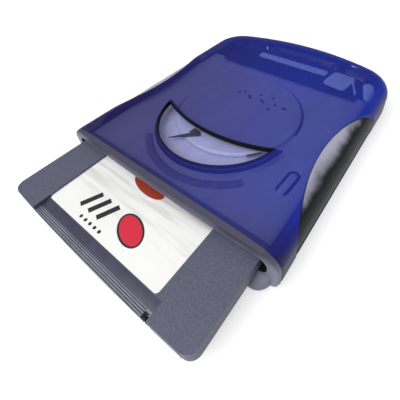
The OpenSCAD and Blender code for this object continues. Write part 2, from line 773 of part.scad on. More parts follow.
module usb_tongue() {
    mid = board_top + usb_h / 2;
    color(dark) in_drive() block(usb_x - usb_tongue_w / 2, usb_x + usb_tongue_w / 2, socket_rear_y - usb_mouth_l,
        socket_rear_y - usb_mouth_l + usb_tongue_l, mid - usb_tongue_h / 2, mid + usb_tongue_h / 2);
}
pin_r = 1;
pin_back = 1;
module along_y(x, z, r, y0, y1) { translate([x, y1, z]) rotate([90, 0, 0]) cylinder(r = r, h = y1 - y0); }
module power_jack() {
    color(dark) in_drive() difference() {
        block(jack_x - jack_w / 2, jack_x + jack_w / 2, socket_rear_y - jack_l, socket_rear_y, board_top, board_top + jack_h);
        along_y(jack_x, jack_z, jack_bore_r, socket_rear_y - jack_bore_l, socket_rear_y + cut);
    }
}
module power_pin() {
    color(steel) in_drive() along_y(jack_x, jack_z, pin_r, socket_rear_y - jack_bore_l, socket_rear_y - pin_back);
}

// Head actuator
yoke_front_gap = 1;
yoke_front_y = metal_rear_y + yoke_front_gap;
yoke_bar_back = 7;
yoke_bar_y = yoke_front_y + yoke_bar_back;
yoke_bar_w = 3;
yoke_bar_h = 2;
magnet_t = 2.4;
magnet_base_gap = 1;
magnet_top_gap = 1.1;
magnet_z0 = tray_top + magnet_base_gap;
magnet_z1 = shield_z - magnet_top_gap;
carriage_base_gap = 1.4;
carriage_z0 = tray_top + carriage_base_gap;
carriage_z1 = rod_z + rod_z - carriage_z0;
carriage_rear_y = yoke_rear_y - yoke_t - free_gap;
carriage_front_y = carriage_rear_y - carriage_l;
arm_t = 0.6;
arm_root_half_w = rod_x - tab_w / 2 - 2 * free_gap;
arm_tip_half_w = 1.8;
head_y = metal_rear_y - free_gap;
head_half_w = 1.4;
head_l = 2.8;
head_gap = 0.45;
coil_l = 7.4;
coil_rise = 0.4;
coil_z0 = carriage_z0 + coil_rise;
coil_z1 = carriage_z1 - coil_rise;
coil_gap = 0.6;
coil_wall = 1.6;
module actuator_yoke() {
    color(steel) in_drive() {
        both_sides() block(yoke_half_w - yoke_t, yoke_half_w, yoke_front_y, yoke_rear_y, tray_top, shield_z);
        block(-yoke_half_w, yoke_half_w, yoke_rear_y - yoke_t, yoke_rear_y, tray_top, shield_z);
        block(-yoke_half_w, yoke_half_w, yoke_bar_y, yoke_bar_y + yoke_bar_w, shield_z - slice, shield_z + yoke_bar_h);
    }
}
module actuator_magnets() {
    color(dark) in_drive() both_sides() block(yoke_half_w - yoke_t - magnet_t, yoke_half_w - yoke_t,
        yoke_front_y + yoke_t, yoke_rear_y - 2 * yoke_t, magnet_z0, magnet_z1);
}
module guide_rods() {
    color(steel) in_drive() both_sides() along_y(rod_x, rod_z, rod_r, metal_rear_y, yoke_rear_y - yoke_t);
}
module head_carriage() {
    color(dark) in_drive() difference() {
        block(-carriage_half_w, carriage_half_w, carriage_front_y, carriage_rear_y, carriage_z0, carriage_z1);
        both_sides() along_y(rod_x, rod_z, rod_r + fit_gap, carriage_front_y - cut, carriage_rear_y + cut);
    }
}
module voice_coils() {
    x1 = yoke_half_w - yoke_t - magnet_t - coil_gap;
    y1 = carriage_rear_y - coil_gap;
    color(copper) in_drive() both_sides() difference() {
        block(carriage_half_w, x1, y1 - coil_l, y1, coil_z0, coil_z1);
        block(carriage_half_w + coil_wall, x1 - coil_wall, y1 - coil_l + coil_wall, y1 - coil_wall,
            coil_z0 - cut, coil_z1 + cut);
    }
}
module head_arm(z, head_z0, head_z1) {
    color(steel) in_drive() {
        translate([0, 0, z]) linear_extrude(arm_t) polygon([
            [-arm_tip_half_w, head_y], [arm_tip_half_w, head_y], [arm_root_half_w, carriage_front_y],
            [arm_root_half_w, carriage_rear_y - coil_wall], [-arm_root_half_w, carriage_rear_y - coil_wall],
            [-arm_root_half_w, carriage_front_y]]);
        block(-head_half_w, head_half_w, head_y, head_y + head_l, head_z0, head_z1);
    }
}
module upper_head_arm() { head_arm(carriage_z1, media_mid_z + head_gap, carriage_z1 + slice); }
module lower_head_arm() { head_arm(carriage_z0 - arm_t, carriage_z0 - slice, media_mid_z - head_gap); }

// Eject train
trolley_in = 4;
trolley_x0 = trolley_in - disk_half_w;
trolley_x1 = half_w * -0.5;
trolley_base_l = 8;
trolley_top = flange_top_z - free_gap;
trolley_base_h = 2;
trolley_hook_w = 5;
trolley_hook_t = 0.6;
module eject_trolley() {
    low = tray_top + free_gap;
    color(cream) in_drive() {
        block(trolley_x0, trolley_x1, trolley_y, trolley_y + trolley_t, low, trolley_top);
        block(trolley_x0, trolley_x1, trolley_y + trolley_t - slice, trolley_y + trolley_base_l, low, low + trolley_base_h);
        block(trolley_foot_x - trolley_foot_w / 2, trolley_foot_x + trolley_foot_w / 2, trolley_foot_y,
            trolley_foot_y + trolley_foot_l, tray_z - free_gap - trolley_hook_t, low + slice);
        block(trolley_foot_x - trolley_hook_w / 2, trolley_foot_x + trolley_hook_w / 2, trolley_foot_y,
            trolley_foot_y + trolley_foot_l, tray_z - free_gap - trolley_hook_t, tray_z - free_gap);
    }
}
solenoid_can_gap = 0.9;
solenoid_l = half_w * 0.223;
solenoid_x0 = can_x - can_r - solenoid_can_gap - solenoid_l;
solenoid_usb_gap = 2.9;
solenoid_r = 3.6;
solenoid_y = socket_rear_y - usb_l - solenoid_usb_gap - solenoid_r;
solenoid_z = tray_top + solenoid_r;
solenoid_base_h = 1.4;
plunger_r = 1.6;
plunger_l = solenoid_l * 0.7;
plunger_tip_r = 0.8;
plunger_tip_l = 1;
plunger_gap = 0.5;
lever_w = 1.6;
plunger_tip_x = lever_x + lever_w / 2 + plunger_gap;
lever_tip_y = metal_rear_y + tab_t;
lever_h = 2.4;
lever_z0 = solenoid_z - lever_h / 2;
lever_z1 = solenoid_z + lever_h / 2;
pivot_r = 1;
pivot_shoulder_r = 1.8;
module along_x(y, z, r, x0, x1) { translate([x0, y, z]) rotate([0, 90, 0]) cylinder(r = r, h = x1 - x0); }
module eject_solenoid() {
    color(steel) in_drive() difference() {
        union() {
            along_x(solenoid_y, solenoid_z, solenoid_r, solenoid_x0, solenoid_x0 + solenoid_l);
            block(solenoid_x0, solenoid_x0 + solenoid_l, solenoid_y - solenoid_r, solenoid_y + solenoid_r, tray_top,
                tray_top + solenoid_base_h);
        }
        along_x(solenoid_y, solenoid_z, plunger_r + fit_gap, solenoid_x0 - cut,
            plunger_tip_x + plunger_tip_l + plunger_l + solenoid_stroke + free_gap);
    }
}
module solenoid_plunger() {
    color(steel) in_drive() {
        along_x(solenoid_y, solenoid_z, plunger_tip_r, plunger_tip_x, plunger_tip_x + plunger_tip_l + slice);
        along_x(solenoid_y, solenoid_z, plunger_r, plunger_tip_x + plunger_tip_l, plunger_tip_x + plunger_tip_l + plunger_l);
    }
}
module latch_lever() {
    color(slate) in_drive() difference() {
        union() {
            block(lever_x - lever_w / 2, lever_x + lever_w / 2, lever_tip_y, pivot_y, lever_z0, lever_z1);
            post(lever_x, pivot_y, lever_eye_r, lever_z0, lever_z1);
        }
        post(lever_x, pivot_y, pivot_r + fit_gap, lever_z0 - cut, lever_z1 + cut);
    }
}
module latch_pin() {
    color(steel) in_drive() {
        post(lever_x, pivot_y, pivot_r, tray_top, lever_z1 + 2 * free_gap);
        post(lever_x, pivot_y, pivot_shoulder_r, tray_top, lever_z0 - free_gap);
    }
}

// Cartridge, in its own place: front edge at y = 0, underside at z = 0
disk_front_r = 4;
disk_rear_r = 3;
disk_bow = 0.8;
mid_half_w = disk_half_w - wing_w;
mid_z = disk_t - disk_recess;
disk_split_z = disk_t / 2;
label_y = 6.9;
label_shutter_gap = 6.6;
label_t = 0.15;
label_r = 1.5;
band_y = 6.6;
rib_zone_y = 3;
rib_drop = 0.8;
rib_z = mid_z - rib_drop;
rib_count = 4;
rib_groove = 0.3;
rib_depth = 0.35;
notch_w = 3;
notch_l = 2.4;
pool_gap = 1.5;
pool_r = media_r + pool_gap;
pool_floor_t = 1.1;
pool_roof_t = 1;
pool_z0 = pool_floor_t;
pool_z1 = mid_z - pool_roof_t;
hub_hole_r = 12;
hub_r = 13.5;
hub_t = 0.8;
hub_z = 0.3;
hub_boss_r = 8;
hub_bore_r = 1.9;
media_t = 0.2;
head_slot_half_w = 8;
head_slot_back = 14;
head_slot_y = hub_y + head_slot_back;
shutter_half_w = 10;
shutter_t = 0.3;
shutter_l = 22.5;
shutter_sink = 0.4;
shutter_side_gap = 4.1;
shutter_travel = mid_half_w - shutter_half_w - shutter_side_gap;
label_l = disk_l - shutter_l - label_shutter_gap - label_y;
mark_w = 5;
mark_l = 4;
mark_in = 3;
mark_t = 0.25;
disk_bow_r = (pow(disk_half_w, 2) + pow(disk_bow, 2)) / (2 * disk_bow);

function disk_outline() = let (f = disk_front_r, r = disk_rear_r, turn = asin((disk_half_w - f) / disk_bow_r)) concat(
    arc(0, disk_bow_r, disk_bow_r, 270 - turn, 270 + turn, bow_steps),
    arc(disk_half_w - f, f + disk_bow, f, -90, 0, corner_steps),
    arc(disk_half_w - r, disk_l - r, r, 0, 90, corner_steps),
    arc(r - disk_half_w, disk_l - r, r, 90, 180, corner_steps),
    arc(f - disk_half_w, f + disk_bow, f, 180, 270, corner_steps));

module disk_hollows() {
    post(0, hub_y, pool_r, pool_z0, pool_z1);
    block(-head_slot_half_w, head_slot_half_w, head_slot_y, disk_l + cut, -cut, disk_t + cut);
    for (z = [-cut, mid_z - shutter_sink])
        block(-shutter_half_w - 2 * free_gap, shutter_half_w + shutter_travel + 2 * free_gap,
            disk_l - shutter_l - free_gap, disk_l + cut, z, z + shutter_sink + cut);
    block(-shutter_half_w - 2 * free_gap, shutter_half_w + shutter_travel + 2 * free_gap,
        disk_l - shutter_sink, disk_l + cut, -cut, mid_z + cut);
    block(mid_half_w - notch_w, mid_half_w, -cut, notch_l, -cut, disk_t + cut);
}
module cartridge_top_case() {
    color(slate) in_disk() difference() {
        translate([0, 0, disk_split_z]) linear_extrude(disk_t - disk_split_z) polygon(disk_outline());
        translate([-mid_half_w, 0, 0]) rotate([90, 0, 90]) linear_extrude(2 * mid_half_w) polygon([
            [-cut, disk_t + cut], [-cut, rib_z], [rib_zone_y, rib_z], [band_y, mid_z], [disk_l + cut, mid_z],
            [disk_l + cut, disk_t + cut]]);
        for (i = [0:rib_count - 1]) {
            y = rib_zone_y * (i + 0.5) / rib_count;
            block(-mid_half_w, mid_half_w - notch_w, y - rib_groove / 2, y + rib_groove / 2, rib_z - rib_depth, rib_z + cut);
        }
        disk_hollows();
        block(-disk_half_w + mark_in, -disk_half_w + mark_in + mark_w, disk_l - mark_in - mark_l, disk_l - mark_in,
            disk_t - mark_t, disk_t + cut);
    }
}
module cartridge_bottom_case() {
    color(grey) in_disk() difference() {
        linear_extrude(disk_split_z) polygon(disk_outline());
        disk_hollows();
        post(0, hub_y, hub_hole_r, -cut, pool_z0 + cut);
    }
}
module cartridge_label() {
    l0 = -mid_half_w + fit_gap;
    l1 = mid_half_w - notch_w - fit_gap;
    color("white") in_disk() translate([l0, label_y, mid_z]) linear_extrude(label_t) {
        translate([label_r, 0]) square([l1 - l0 - 2 * label_r, label_l]);
        translate([0, label_r]) square([l1 - l0, label_l - 2 * label_r]);
        for (x = [label_r, l1 - l0 - label_r], y = [label_r, label_l - label_r]) translate([x, y]) circle(label_r);
    }
}
module cartridge_mark() {
    color("white") in_disk() block(-disk_half_w + mark_in, -disk_half_w + mark_in + mark_w,
        disk_l - mark_in - mark_l, disk_l - mark_in, disk_t - mark_t, disk_t - slice);
}
module shutter() {
    y0 = disk_l - shutter_l;
    y1 = disk_l - fit_gap;
    color(steel) in_disk() {
        block(-shutter_half_w, shutter_half_w, y0, y1, fit_gap, fit_gap + shutter_t);
        block(-shutter_half_w, shutter_half_w, y0, y1, mid_z - fit_gap - shutter_t, mid_z - fit_gap);
        block(-shutter_half_w, shutter_half_w, y1 - shutter_t, y1, fit_gap, mid_z - fit_gap);
    }
}
module media_disc() {
    color(dark) in_disk() ring(0, hub_y, hub_bore_r, media_r, disk_split_z - media_t / 2, disk_split_z + media_t / 2);
}
module media_hub() {
    color(steel) in_disk() difference() {
        union() {
            post(0, hub_y, hub_hole_r - fit_gap, hub_z, pool_z0 + fit_gap + slice);
            post(0, hub_y, hub_r, pool_z0 + fit_gap, pool_z0 + fit_gap + hub_t);
            post(0, hub_y, hub_boss_r, hub_z, disk_split_z - media_t / 2);
        }
        post(0, hub_y, hub_bore_r, -cut, disk_t);
    }
}

top_shell();
bottom_shell();
front_bezel();
left_grip();
right_grip();
window_lens();
window_gasket();
rubber_feet();
case_screws();
eject_button();
light_pipe();
front_board();
eject_switch();
chassis_tray();
top_shield();
shield_spring();
left_rail();
right_rail();
motor_base();
motor_stator();
spindle_rotor();
chuck_magnet();
main_board();
board_chips();
smoothing_capacitor();
board_ribbon();
usb_socket();
usb_tongue();
power_jack();
power_pin();
actuator_yoke();
actuator_magnets();
guide_rods();
head_carriage();
voice_coils();
upper_head_arm();
lower_head_arm();
eject_trolley();
eject_solenoid();
solenoid_plunger();
latch_lever();
latch_pin();
cartridge_top_case();
cartridge_bottom_case();
cartridge_label();
cartridge_mark();
shutter();
media_disc();
media_hub();
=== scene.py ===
import math

import bpy
from mathutils import Euler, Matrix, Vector


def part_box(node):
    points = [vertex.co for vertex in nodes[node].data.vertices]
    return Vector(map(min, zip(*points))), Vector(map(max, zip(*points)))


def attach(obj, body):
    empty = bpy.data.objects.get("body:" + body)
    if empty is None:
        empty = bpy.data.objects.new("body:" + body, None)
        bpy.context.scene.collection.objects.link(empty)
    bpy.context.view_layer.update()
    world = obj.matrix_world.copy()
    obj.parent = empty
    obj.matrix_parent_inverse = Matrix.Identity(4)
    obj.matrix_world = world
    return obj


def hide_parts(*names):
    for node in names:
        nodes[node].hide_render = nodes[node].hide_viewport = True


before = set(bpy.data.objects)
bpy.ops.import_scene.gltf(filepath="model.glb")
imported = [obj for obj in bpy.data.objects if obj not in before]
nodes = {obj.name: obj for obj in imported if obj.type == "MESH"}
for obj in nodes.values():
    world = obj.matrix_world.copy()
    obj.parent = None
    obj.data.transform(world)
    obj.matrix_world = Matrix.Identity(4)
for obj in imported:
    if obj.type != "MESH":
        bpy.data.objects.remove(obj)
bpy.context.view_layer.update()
mm = 0.001

# Camera. The photograph looks down on the drive from its front right corner, close by, so the
# cartridge spreads towards the lens. The small shift is the part of the photograph's framing that
# the other views can bear.
camera_data = bpy.data.cameras.new("camera")
camera_data.sensor_width = 36.0
camera_data.lens = 27.494
camera_data.shift_x = -0.10
camera_data.shift_y = -0.20
camera_data.clip_start = 0.005
camera = bpy.data.objects.new("camera", camera_data)
camera.location = (74.34 * mm, -88.28 * mm, 110.73 * mm)
camera.rotation_euler = Euler([math.radians(a) for a in (49.811, 2.468, 36.25)])
bpy.context.scene.collection.objects.link(camera)
bpy.context.scene.camera = camera


# Case bottom. The lower half of the shell is the same blue plastic as the top, moulded as one tray
# with ribs and screw posts. Its upright edge meets the top half in a fine seam round the sides.
def take_up(piece):
    """Selects one piece alone, for the operators that follow."""
    for other in bpy.context.selected_objects:
        other.select_set(False)
    piece.select_set(True)
    bpy.context.view_layer.objects.active = piece


def copy_of(node, name):
    """A piece of its own with a CAD node's shape, its triangles joined and its flats made whole."""
    joined_within, flat_within = 0.002 * mm, math.radians(0.4)
    piece = bpy.data.objects.new(name, nodes[node].data.copy())
    piece.data.name = name
    bpy.context.scene.collection.objects.link(piece)
    piece.data.materials.clear()
    take_up(piece)
    if piece.data.has_custom_normals:
        bpy.ops.mesh.customdata_custom_splitnormals_clear()
    bpy.ops.object.mode_set(mode="EDIT")
    bpy.ops.mesh.select_all(action="SELECT")
    bpy.ops.mesh.remove_doubles(threshold=joined_within)
    bpy.ops.mesh.dissolve_limited(angle_limit=flat_within)
    bpy.ops.object.mode_set(mode="OBJECT")
    return piece


def ease_edges(piece, width, material=-1):
    """Breaks the sharp edges by a small radius, as a mould leaves them, the flats kept flat."""
    sharp_from, smooth_to = math.radians(32), math.radians(40)
    take_up(piece)
    edge = piece.modifiers.new("eased edges", "BEVEL")
    edge.width = width
    edge.segments = 2
    edge.limit_method = "ANGLE"
    edge.angle_limit = sharp_from
    edge.material = material
    edge.miter_outer = "MITER_ARC"
    bpy.ops.object.modifier_apply(modifier=edge.name)
    bpy.ops.object.shade_smooth_by_angle(angle=smooth_to)
    flats = piece.modifiers.new("true flats", "WEIGHTED_NORMAL")
    flats.keep_sharp = True
    bpy.ops.object.modifier_apply(modifier=flats.name)


def add_step(tree, kind, *feeds, **settings):
    """Adds one step to a finish. Its feeds go to its inputs in turn, and a setting with a capital
    goes to the input of that name: a socket is linked, a value is set. The rest are choices."""
    step = tree.nodes.new(kind)
    for choice in [name for name in settings if name.islower()]:
        setattr(step, choice, settings.pop(choice))
    inputs = dict(enumerate(feeds))
    inputs.update((name.replace("_", " "), value) for name, value in settings.items())
    for place, value in inputs.items():
        if isinstance(value, bpy.types.NodeSocket):
            tree.links.new(value, step.inputs[place])
        else:
            step.inputs[place].default_value = value
    return step


def new_finish(name, **fixed):
    """Starts a finish with these constant values: its material, tree, shader and place socket."""
    material = bpy.data.materials.new(name)
    material.use_nodes = True
    tree = material.node_tree
    shader = tree.nodes["Principled BSDF"]
    for socket, value in fixed.items():
        shader.inputs[socket.replace("_", " ")].default_value = value
    return material, tree, shader, add_step(tree, "ShaderNodeTexCoord").outputs["Object"]


def coat(tree, shader, cloud, pale, deep, rough, spread, relief, strength, depth):
    """Colour and gloss that follow one cloud, and a relief that follows another."""
    colours = add_step(tree, "ShaderNodeValToRGB", cloud)
    for end, colour, at in zip(colours.color_ramp.elements, (deep, pale), spread):
        end.position = at
        end.color = (*colour, 1)
    gloss = add_step(tree, "ShaderNodeMapRange", cloud, To_Min=rough[0], To_Max=rough[1])
    skin = add_step(tree, "ShaderNodeBump", Strength=strength, Distance=depth, Height=relief)
    tree.links.new(colours.outputs["Color"], shader.inputs["Base Color"])
    tree.links.new(gloss.outputs["Result"], shader.inputs["Roughness"])
    tree.links.new(skin.outputs["Normal"], shader.inputs["Normal"])


def moulded(name, pale, deep, rough, patch=55, grain=2600, depth=0.02 * mm, **fixed):
    """Moulded plastic: two near colours in soft patches, a gloss that wanders, and a fine grain."""
    material, tree, shader, place = new_finish(name, **fixed)
    cloud = add_step(tree, "ShaderNodeTexNoise", Vector=place, Scale=patch, Detail=5).outputs[0]
    pores = add_step(tree, "ShaderNodeTexNoise", Vector=place, Scale=grain, Detail=3).outputs[0]
    coat(tree, shader, cloud, pale, deep, rough, spread=(0.32, 0.68), relief=pores, strength=0.5,
         depth=depth)
    return material


def colour_over(material, share, colour, where=1):
    """Lays a colour over a finish where the share is 1, or 0, and leaves its own elsewhere."""
    tree = material.node_tree
    skin = tree.nodes["Principled BSDF"].inputs["Base Color"]
    own, other = skin.links[0].from_socket, (*colour, 1)
    ends = {"A": own, "B": other} if where else {"A": other, "B": own}
    layer = add_step(tree, "ShaderNodeMix", data_type="RGBA", Factor=share, **ends)
    tree.links.new(layer.outputs["Result"], skin)


def paint_shade_across(material, other, start, end):
    """Painted shade: a slow darkening over the piece, from a darker colour at start to its own at
    end.
    """
    tree = material.node_tree
    way = (Vector(end) - Vector(start)).normalized()
    place = add_step(tree, "ShaderNodeTexCoord").outputs["Object"]
    along = add_step(tree, "ShaderNodeVectorMath", place, way, operation="DOT_PRODUCT")
    share = add_step(tree, "ShaderNodeMapRange", along.outputs["Value"],
                     interpolation_type="SMOOTHSTEP", From_Min=Vector(start).dot(way),
                     From_Max=Vector(end).dot(way))
    colour_over(material, share.outputs["Result"], other, where=0)


def finish(piece, body, slot, *stands_for):
    """Says what a piece rides on, and what it stands for. The slot it would take its finish from is
    not used.
    """
    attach(piece, body)
    if stands_for:
        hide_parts(*stands_for)


blue_pale, blue_deep = (0.010, 0.032, 0.40), (0.006, 0.016, 0.28)
case_look = dict(patch=22, grain=900, depth=0.004 * mm)
case_ease = 0.25 * mm
shell_blue = moulded("shell blue", blue_pale, blue_deep, (0.38, 0.50), Specular_IOR_Level=0.22,
                     **case_look)
# Painted shade: the case darkens to navy towards its base, and is its own blue from 12 mm up.
low_side_shade, low_side_shade_top = (0.010, 0.010, 0.085), 12 * mm
paint_shade_across(shell_blue, low_side_shade, (0, 0, -2 * mm), (0, 0, low_side_shade_top))
base = copy_of("bottom_shell", "case_bottom")
ease_edges(base, case_ease)
base.data.materials.append(shell_blue)
finish(base, "drive", "base_plastic", "bottom_shell")


# Feet and screws. Four soft grey rubber discs sit in rings moulded in the case bottom, and two
# cross-head screws at the rear corners draw the halves together.
def dress(material, *kept):
    """Gives the CAD nodes that are kept as they are a finish of their own."""
    for node in kept:
        nodes[node].data.materials.clear()
        nodes[node].data.materials.append(material)


def brushed(name, pale, deep, rough, along=(40, 900, 900), metallic=1.0):
    """Bare metal: fine rolling lines along one way, and a gloss that changes with them."""
    material, tree, shader, place = new_finish(name, Metallic=metallic)
    drawn = add_step(tree, "ShaderNodeMapping", place, Scale=along).outputs["Vector"]
    lines = add_step(tree, "ShaderNodeTexNoise", Vector=drawn, Scale=1, Detail=6).outputs[0]
    coat(tree, shader, lines, pale, deep, rough, spread=(0.3, 0.7), relief=lines, strength=0.3,
         depth=0.01 * mm)
    return material


foot_rubber = moulded("foot rubber", (0.060, 0.062, 0.070), (0.035, 0.036, 0.042), (0.7, 0.9),
                      patch=300, grain=1800, depth=0.03 * mm)
dress(foot_rubber, "rubber_feet")
bright_steel = brushed("bright steel", (0.74, 0.74, 0.76), (0.52, 0.52, 0.55), (0.18, 0.34))
dress(bright_steel, "case_screws")

# Chassis. A folded steel tray is screwed down inside the case, and two plastic rails riveted to it
# guide the cartridge.
tray_steel = brushed("tray steel", (0.62, 0.62, 0.66), (0.44, 0.44, 0.48), (0.28, 0.46))
dress(tray_steel, "chassis_tray")
rail_black = moulded("rail black", (0.030, 0.030, 0.034), (0.014, 0.014, 0.017), (0.42, 0.60),
                     patch=120)
dress(rail_black, "left_rail", "right_rail")

# Spindle motor. A flat motor on the tray: a steel base, a wound stator and a rotor whose magnet
# grips the steel hub of the disc.
copper = brushed("wound copper", (0.72, 0.30, 0.13), (0.40, 0.13, 0.05), (0.25, 0.45),
                 along=(1600, 1600, 300))
magnet_grey = brushed("sintered magnet", (0.10, 0.10, 0.11), (0.05, 0.05, 0.06), (0.4, 0.6),
                      along=(700, 700, 700), metallic=0.6)
dress(tray_steel, "motor_base")
dress(copper, "motor_stator")
dress(bright_steel, "spindle_rotor")
dress(magnet_grey, "chuck_magnet")

# Main electronics. A green board along the rear carries the chips, and the sockets that open
# through the rear wall. A film ribbon joins it to the small board at the front.
board_green = moulded("board green", (0.018, 0.16, 0.075), (0.008, 0.085, 0.040), (0.25, 0.40),
                      patch=160)
chip_black = moulded("chip black", (0.020, 0.020, 0.022), (0.010, 0.010, 0.011), (0.5, 0.7),
                     patch=300)
tongue_white = moulded("tongue white", (0.72, 0.72, 0.70), (0.62, 0.62, 0.60), (0.35, 0.5),
                       patch=200)
can_metal = brushed("can aluminium", (0.66, 0.67, 0.70), (0.50, 0.51, 0.55), (0.3, 0.42),
                    along=(900, 900, 60))
ribbon_film = moulded("ribbon film", (0.55, 0.36, 0.10), (0.40, 0.24, 0.06), (0.3, 0.42), patch=200)
dress(board_green, "main_board", "front_board")
dress(chip_black, "board_chips", "power_jack")
dress(tray_steel, "usb_socket")
dress(tongue_white, "usb_tongue")
dress(bright_steel, "power_pin")
dress(can_metal, "smoothing_capacitor")
dress(ribbon_film, "board_ribbon")

# Head actuator. A voice coil motor: a steel yoke with flat magnets, and a carriage on two rods that
# carries the coils and the two thin arms with the heads.
carriage_resin = moulded("carriage resin", (0.10, 0.10, 0.105), (0.06, 0.06, 0.064), (0.4, 0.55),
                         patch=200)
dress(tray_steel, "actuator_yoke")
dress(magnet_grey, "actuator_magnets")
dress(carriage_resin, "head_carriage")
dress(copper, "voice_coils")
dress(bright_steel, "guide_rods", "upper_head_arm", "lower_head_arm")

# Eject train. A plastic trolley carries the cartridge in and out, held by a steel latch that a
# small solenoid draws back. A switch on the front board feels the button.
trolley_white = moulded("trolley white", (0.70, 0.70, 0.68), (0.58, 0.58, 0.57), (0.35, 0.5),
                        patch=150)
dress(trolley_white, "eject_trolley")
dress(tray_steel, "eject_solenoid")
dress(bright_steel, "solenoid_plunger", "latch_lever", "latch_pin")
dress(chip_black, "eject_switch")


# Shield. A thin steel cover over the chassis, with a raised round for the disc. Its soft rim is
# pressed, and a pointed leaf spring is riveted down before it by one stud.
def pick(piece, kind, wanted):
    """Selects the edges or faces of a piece that pass a test, and leaves it in edit mode."""
    bpy.ops.object.mode_set(mode="EDIT")
    bpy.ops.mesh.select_all(action="DESELECT")
    bpy.ops.mesh.select_mode(type=kind)
    bpy.ops.object.mode_set(mode="OBJECT")
    for part in piece.data.edges if kind == "EDGE" else piece.data.polygons:
        part.select = wanted(part)
    bpy.ops.object.mode_set(mode="EDIT")


def just_added(name):
    """The primitive that was just added, under the name of its piece."""
    piece = bpy.context.active_object
    piece.name = piece.data.name = name
    return piece


shield_steel = brushed("shield steel", (0.35, 0.37, 0.62), (0.29, 0.31, 0.55), (0.50, 0.62),
                       along=(200, 40, 200), metallic=0.15)
dome_x, dome_y, dome_r = 0, 5.5 * mm, 31 * mm
dome_round, shield_ease = 1.6 * mm, 0.12 * mm
shield_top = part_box("top_shield")[1].z
shield = copy_of("top_shield", "shield_cover")


def on_dome_rim(edge):
    """Says whether an edge lies on the upper rim of the raised round."""
    level, round_off = 0.01 * mm, 0.05 * mm
    ends = [shield.data.vertices[v].co for v in edge.vertices]
    return all(end.z > shield_top - level
               and abs(math.hypot(end.x - dome_x, end.y - dome_y) - dome_r) < round_off
               for end in ends)


pick(shield, "EDGE", on_dome_rim)
bpy.ops.mesh.bevel(offset=dome_round, segments=8, affect="EDGES")
bpy.ops.mesh.select_mode(type="FACE")
bpy.ops.object.mode_set(mode="OBJECT")
ease_edges(shield, shield_ease)
shield.data.materials.append(shield_steel)
finish(shield, "drive", "sheet_steel", "top_shield")

spring_black = moulded("spring black", (0.008, 0.008, 0.012), (0.004, 0.004, 0.006), (0.5, 0.7),
                       patch=300, Specular_IOR_Level=0.2)
spring_low, spring_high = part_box("shield_spring")
spring_point, spring_point_side = (-14.8, -29.0), (-14.5, -28.4)
spring_root, spring_root_side = (-2.8, -19.8), (-5.3, -17.4)
spring_ease = 0.06 * mm
bpy.ops.mesh.primitive_plane_add(size=1)
spike = just_added("pointed_spring")
outline = (spring_point, spring_root, spring_point_side, spring_root_side)
for corner, (x, y) in zip(spike.data.vertices, outline):
    corner.co = (x * mm, y * mm, spring_low.z)
bpy.ops.object.mode_set(mode="EDIT")
bpy.ops.mesh.select_all(action="SELECT")
spring_rise = (0, 0, spring_high.z - spring_low.z)
bpy.ops.mesh.extrude_region_move(TRANSFORM_OT_translate={"value": spring_rise})
bpy.ops.mesh.select_all(action="SELECT")
bpy.ops.mesh.normals_make_consistent(inside=False)
bpy.ops.object.mode_set(mode="OBJECT")
ease_edges(spike, spring_ease)
stud_w, stud_l, stud_t, stud_turn = 3.0 * mm, 3.4 * mm, 0.4 * mm, math.radians(-10)
stud_x, stud_y, stud_ease = -7.2 * mm, -19.4 * mm, 0.1 * mm
bpy.ops.mesh.primitive_cube_add(size=1, location=(0, 0, 0))
stud = just_added("spring_stud")
stud.scale = (stud_w, stud_l, stud_t)
stud.rotation_euler.z = stud_turn
stud.location = (stud_x, stud_y, spring_high.z + stud_t / 2)
bpy.ops.object.transform_apply(location=True, rotation=True, scale=True)
ease_edges(stud, stud_ease)
for piece in (spike, stud):
    piece.data.materials.append(spring_black)
finish(spike, "drive", "black_plastic", "shield_spring")
finish(stud, "drive", "black_plastic")


# Marks in the shield. Punched dots on the raised round, a short slit near its rim, and a spring
# finger cut free in the flat beside it. The dots, the slit and the finger's slot round three sides
# are near-black plates of painted shade.
def capsule(name, middle, length, width, turn, thickness, corner=None):
    """A plate lying flat with round ends or round corners, its rim bevelled."""
    radius = corner or width / 2
    bpy.ops.mesh.primitive_cylinder_add(vertices=32, radius=radius, depth=thickness,
                                        location=(0, 0, 0))
    piece = just_added(name)
    for point in piece.data.vertices:
        point.co.x += math.copysign(width / 2 - radius, point.co.x)
        point.co.y += math.copysign(length / 2 - radius, point.co.y)
    rim = piece.modifiers.new("rim", "BEVEL")
    rim.width = thickness * 0.35
    rim.segments = 2
    rim.angle_limit = math.radians(40)
    take_up(piece)
    bpy.ops.object.modifier_apply(modifier=rim.name)
    bpy.ops.object.shade_smooth_by_angle(angle=math.radians(35))
    piece.rotation_euler.z = turn
    piece.location = middle
    bpy.ops.object.transform_apply(location=True, rotation=True, scale=True)
    return piece


# Painted shade: a near-black finish for holes, slits and slots, where only shade shows.
painted_slot_shade = moulded("painted slot shade", (0.010, 0.010, 0.020), (0.005, 0.005, 0.010), (0.7, 0.9),
                    patch=300, Specular_IOR_Level=0.2)
flat_top = 14.9 * mm
mark_t = 0.12 * mm
finger_x, finger_y, finger_turn = 41.9 * mm, -19.4 * mm, math.radians(-3)
finger_slot_l, finger_slot_w, finger_l, finger_w = 13.4 * mm, 5.6 * mm, 12.8 * mm, 2.9 * mm
slit_x, slit_y, slit_l, slit_w = 23.3 * mm, -15.6 * mm, 6.6 * mm, 1.1 * mm
slit_turn = math.radians(-41)
finger_slot = capsule("finger_slot", (finger_x, finger_y, flat_top), finger_slot_l, finger_slot_w,
                      finger_turn, mark_t)
slit = capsule("shield_slit", (slit_x, slit_y, shield_top), slit_l, slit_w, slit_turn, mark_t)
for mark in (finger_slot, slit):
    mark.data.materials.append(painted_slot_shade)
    finish(mark, "drive", "sheet_steel")
finger_aside, finger_ahead = 0.1 * mm, 1.0 * mm
